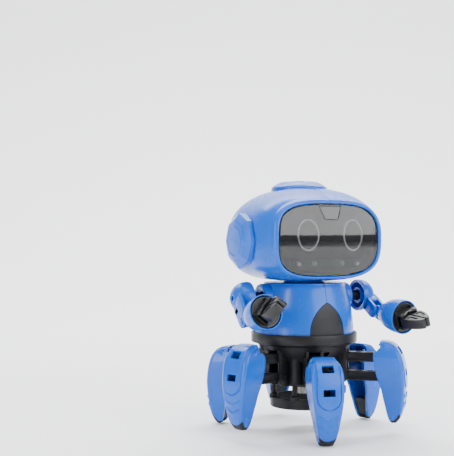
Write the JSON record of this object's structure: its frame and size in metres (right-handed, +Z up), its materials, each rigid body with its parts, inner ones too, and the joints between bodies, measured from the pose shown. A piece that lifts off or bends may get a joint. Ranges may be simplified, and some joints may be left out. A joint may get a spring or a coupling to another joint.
{
  "type": "hexapod spider robot",
  "caption": "Toy walking robot with a domed head behind a smoked visor, barrel body, two claw arms and hollow curved legs on parallel links.",
  "frame": {"origin": "on the floor under the body axis, at the middle of the footprint", "axes": "+Z up, -Y the way the robot faces, +X to the robot's left"},
  "size_m": [0.1269, 0.1279, 0.155],
  "materials": {
    "blue_gloss": "glossy moulded ABS",
    "black_satin": "satin moulded ABS",
    "belly_black": "fine satin",
    "visor_smoke": "smoked translucent polycarbonate",
    "window_smoke": "smoked infrared window",
    "eye_light": "milky light guide",
    "foot_rubber": "soft matt rubber",
    "board_green": "solder mask",
    "motor_steel": "plated can",
    "gear_black": "acetal",
    "gear_ivory": "acetal",
    "pack_ivory": "moulded holder with cells"
  },
  "bodies": {
    "chassis": {"chassis_tray": "black_satin", "lower_hoop": "black_satin", "motor": "motor_steel", "torso_shell_left": "blue_gloss", "torso_shell_right": "blue_gloss", "belly_plate": "belly_black", "battery_pack": "pack_ivory", "shoulder_axle_left": "black_satin", "shoulder_axle_right": "black_satin"},
    "head": {"head_shell_left": "blue_gloss", "ear_cap_left": "blue_gloss", "eye_ring_left": "eye_light", "head_shell_right": "blue_gloss", "ear_cap_right": "blue_gloss", "eye_ring_right": "eye_light", "visor": "visor_smoke", "sensor_window": "window_smoke", "face_plate": "black_satin", "ir_led_board": "board_green", "head_cap": "blue_gloss", "circuit_board": "board_green"},
    "mode_button": {"mode_button": "black_satin"},
    "power_switch": {"power_switch": "black_satin"},
    "motor_pinion": {"motor_pinion": "gear_ivory"},
    "drive_gear": {"drive_gear": "gear_black"},
    "upper_arm_left": {"upper_arm_left": "blue_gloss"},
    "forearm_left": {"forearm_cup_left": "blue_gloss"},
    "claw_left": {"claw_base_left": "black_satin"},
    "finger_a_left": {"claw_finger_a_left": "black_satin"},
    "finger_b_left": {"claw_finger_b_left": "black_satin"},
    "upper_arm_right": {"upper_arm_right": "blue_gloss"},
    "forearm_right": {"forearm_cup_right": "blue_gloss"},
    "claw_right": {"claw_base_right": "black_satin"},
    "finger_a_right": {"claw_finger_a_right": "black_satin"},
    "finger_b_right": {"claw_finger_b_right": "black_satin"},
    "upper_link_a": {"upper_link_a": "black_satin"},
    "lower_link_a": {"lower_link_a": "black_satin"},
    "leg_a": {"leg_shell_a": "blue_gloss", "foot_pad_a": "foot_rubber"},
    "upper_link_b": {"upper_link_b": "black_satin"},
    "lower_link_b": {"lower_link_b": "black_satin"},
    "leg_b": {"leg_shell_b": "blue_gloss", "foot_pad_b": "foot_rubber"},
    "upper_link_c": {"upper_link_c": "black_satin"},
    "lower_link_c": {"lower_link_c": "black_satin"},
    "leg_c": {"leg_shell_c": "blue_gloss", "foot_pad_c": "foot_rubber"},
    "upper_link_d": {"upper_link_d": "black_satin"},
    "lower_link_d": {"lower_link_d": "black_satin"},
    "leg_d": {"leg_shell_d": "blue_gloss", "foot_pad_d": "foot_rubber"},
    "upper_link_e": {"upper_link_e": "black_satin"},
    "lower_link_e": {"lower_link_e": "black_satin"},
    "leg_e": {"leg_shell_e": "blue_gloss", "foot_pad_e": "foot_rubber"},
    "upper_link_f": {"upper_link_f": "black_satin"},
    "lower_link_f": {"lower_link_f": "black_satin"},
    "leg_f": {"leg_shell_f": "blue_gloss", "foot_pad_f": "foot_rubber"}
  },
  "joints": [
    {"name": "head_turn", "type": "hinge", "parent": "chassis", "child": "head", "pos_m": [0, 0, 0.092], "axis": [0, 0, 1], "range_deg": [-60, 60]},
    {"name": "mode_press", "type": "slide", "parent": "head", "child": "mode_button", "axis": [0, 0, -1], "range_m": [0, 0.001], "stiffness_N_per_m": 200, "springref_m": -0.001},
    {"name": "power_slide", "type": "slide", "parent": "chassis", "child": "power_switch", "axis": [1, 0, 0], "range_m": [-0.0022, 0.0022]},
    {"name": "drive_spin", "type": "hinge", "parent": "chassis", "child": "drive_gear", "pos_m": [0.01443, -0.00408, 0.0246], "axis": [0, 0, 1], "continuous": true},
    {"name": "pinion_spin", "type": "hinge", "parent": "chassis", "child": "motor_pinion", "pos_m": [0, 0, 0.0246], "axis": [0, 0, 1], "continuous": true},
    {"name": "shoulder_left", "type": "hinge", "parent": "chassis", "child": "upper_arm_left", "pos_m": [0.0401, 0, 0.0825], "axis": [1, 0, 0], "range_deg": [-30, 5]},
    {"name": "elbow_left", "type": "hinge", "parent": "upper_arm_left", "child": "forearm_left", "pos_m": [0.0446, -0.01484, 0.07323], "axis": [1, 0, 0], "range_deg": [-20, 10]},
    {"name": "wrist_left", "type": "hinge", "parent": "forearm_left", "child": "claw_left", "pos_m": [0.04804, -0.03907, 0.07077], "axis": [0.14, -0.9851, -0.1], "range_deg": [-90, 90]},
    {"name": "finger_a_left", "type": "hinge", "parent": "claw_left", "child": "finger_a_left", "pos_m": [0.04465, -0.04442, 0.06871], "axis": [-0.3387, -0.1426, 0.9301], "range_deg": [-30, 0]},
    {"name": "finger_b_left", "type": "hinge", "parent": "claw_left", "child": "finger_b_left", "pos_m": [0.05284, -0.04358, 0.07182], "axis": [-0.3387, -0.1426, 0.9301], "range_deg": [0, 30]},
    {"name": "shoulder_right", "type": "hinge", "parent": "chassis", "child": "upper_arm_right", "pos_m": [-0.0401, 0, 0.0825], "axis": [1, 0, 0], "range_deg": [-25, 5]},
    {"name": "elbow_right", "type": "hinge", "parent": "upper_arm_right", "child": "forearm_right", "pos_m": [-0.0446, -0.01182, 0.0696], "axis": [1, 0, 0], "range_deg": [-10, 20]},
    {"name": "wrist_right", "type": "hinge", "parent": "forearm_right", "child": "claw_right", "pos_m": [-0.04485, -0.03544, 0.07648], "axis": [-0.01, -0.96, 0.28], "range_deg": [-90, 90]},
    {"name": "finger_a_right", "type": "hinge", "parent": "claw_right", "child": "finger_a_right", "pos_m": [-0.04784, -0.04113, 0.07474], "axis": [-0.7431, 0.1945, 0.6403], "range_deg": [-30, 0]},
    {"name": "finger_b_right", "type": "hinge", "parent": "claw_right", "child": "finger_b_right", "pos_m": [-0.04195, -0.03935, 0.08103], "axis": [-0.7431, 0.1945, 0.6403], "range_deg": [0, 30]},
    {"name": "lift_a", "type": "hinge", "parent": "chassis", "child": "upper_link_a", "pos_m": [-0.01673, 0.01721, 0.0462], "axis": [-0.7169, -0.6972, 0], "range_deg": [-14, 0]},
    {"name": "level_a", "type": "hinge", "parent": "upper_link_a", "child": "leg_a", "pos_m": [-0.03432, 0.03529, 0.0399], "axis": [-0.7169, -0.6972, 0], "range_deg": [0, 14]},
    {"name": "follow_a", "type": "hinge", "parent": "chassis", "child": "lower_link_a", "pos_m": [-0.01673, 0.01721, 0.0347], "axis": [-0.7169, -0.6972, 0], "range_deg": [-14, 0]},
    {"name": "lift_b", "type": "hinge", "parent": "chassis", "child": "upper_link_b", "pos_m": [-0.02267, -0.00789, 0.0462], "axis": [0.3289, -0.9444, 0], "range_deg": [0, 14]},
    {"name": "level_b", "type": "hinge", "parent": "upper_link_b", "child": "leg_b", "pos_m": [-0.04722, -0.01644, 0.0462], "axis": [0.3289, -0.9444, 0], "range_deg": [-14, 0]},
    {"name": "follow_b", "type": "hinge", "parent": "chassis", "child": "lower_link_b", "pos_m": [-0.02267, -0.00789, 0.0347], "axis": [0.3289, -0.9444, 0], "range_deg": [0, 14]},
    {"name": "lift_c", "type": "hinge", "parent": "chassis", "child": "upper_link_c", "pos_m": [-0.00654, -0.02309, 0.0462], "axis": [0.9622, -0.2723, 0], "range_deg": [-14, 0]},
    {"name": "level_c", "type": "hinge", "parent": "upper_link_c", "child": "leg_c", "pos_m": [-0.0134, -0.04736, 0.0399], "axis": [0.9622, -0.2723, 0], "range_deg": [0, 14]},
    {"name": "follow_c", "type": "hinge", "parent": "chassis", "child": "lower_link_c", "pos_m": [-0.00654, -0.02309, 0.0347], "axis": [0.9622, -0.2723, 0], "range_deg": [-14, 0]},
    {"name": "lift_d", "type": "hinge", "parent": "chassis", "child": "upper_link_d", "pos_m": [0.01817, -0.01568, 0.0462], "axis": [0.6534, 0.757, 0], "range_deg": [0, 14]},
    {"name": "level_d", "type": "hinge", "parent": "upper_link_d", "child": "leg_d", "pos_m": [0.03785, -0.03267, 0.0462], "axis": [0.6534, 0.757, 0], "range_deg": [-14, 0]},
    {"name": "follow_d", "type": "hinge", "parent": "chassis", "child": "lower_link_d", "pos_m": [0.01817, -0.01568, 0.0347], "axis": [0.6534, 0.757, 0], "range_deg": [0, 14]},
    {"name": "lift_e", "type": "hinge", "parent": "chassis", "child": "upper_link_e", "pos_m": [0.02327, 0.00589, 0.0462], "axis": [-0.2453, 0.9694, 0], "range_deg": [-14, 0]},
    {"name": "level_e", "type": "hinge", "parent": "upper_link_e", "child": "leg_e", "pos_m": [0.04772, 0.01208, 0.0399], "axis": [-0.2453, 0.9694, 0], "range_deg": [0, 14]},
    {"name": "follow_e", "type": "hinge", "parent": "chassis", "child": "lower_link_e", "pos_m": [0.02327, 0.00589, 0.0347], "axis": [-0.2453, 0.9694, 0], "range_deg": [-14, 0]},
    {"name": "lift_f", "type": "hinge", "parent": "chassis", "child": "upper_link_f", "pos_m": [0.0045, 0.02357, 0.0462], "axis": [-0.9823, 0.1874, 0], "range_deg": [0, 14]},
    {"name": "level_f", "type": "hinge", "parent": "upper_link_f", "child": "leg_f", "pos_m": [0.00937, 0.04911, 0.0462], "axis": [-0.9823, 0.1874, 0], "range_deg": [-14, 0]},
    {"name": "follow_f", "type": "hinge", "parent": "chassis", "child": "lower_link_f", "pos_m": [0.0045, 0.02357, 0.0347], "axis": [-0.9823, 0.1874, 0], "range_deg": [0, 14]}
  ],
  "couplings": [
    {"joint": "pinion_spin", "follows": "drive_spin", "ratio": -3},
    {"joint": "finger_b_left", "follows": "finger_a_left", "ratio": -1},
    {"joint": "finger_b_right", "follows": "finger_a_right", "ratio": -1},
    {"joint": "lift_a", "follows": "lift_b", "ratio": -1},
    {"joint": "level_a", "follows": "lift_b", "ratio": 1},
    {"joint": "follow_a", "follows": "lift_b", "ratio": -1},
    {"joint": "level_b", "follows": "lift_b", "ratio": -1},
    {"joint": "follow_b", "follows": "lift_b", "ratio": 1},
    {"joint": "lift_c", "follows": "lift_b", "ratio": -1},
    {"joint": "level_c", "follows": "lift_b", "ratio": 1},
    {"joint": "follow_c", "follows": "lift_b", "ratio": -1},
    {"joint": "lift_d", "follows": "lift_b", "ratio": 1},
    {"joint": "level_d", "follows": "lift_b", "ratio": -1},
    {"joint": "follow_d", "follows": "lift_b", "ratio": 1},
    {"joint": "lift_e", "follows": "lift_b", "ratio": -1},
    {"joint": "level_e", "follows": "lift_b", "ratio": 1},
    {"joint": "follow_e", "follows": "lift_b", "ratio": -1},
    {"joint": "lift_f", "follows": "lift_b", "ratio": 1},
    {"joint": "level_f", "follows": "lift_b", "ratio": -1},
    {"joint": "follow_f", "follows": "lift_b", "ratio": 1}
  ]
}
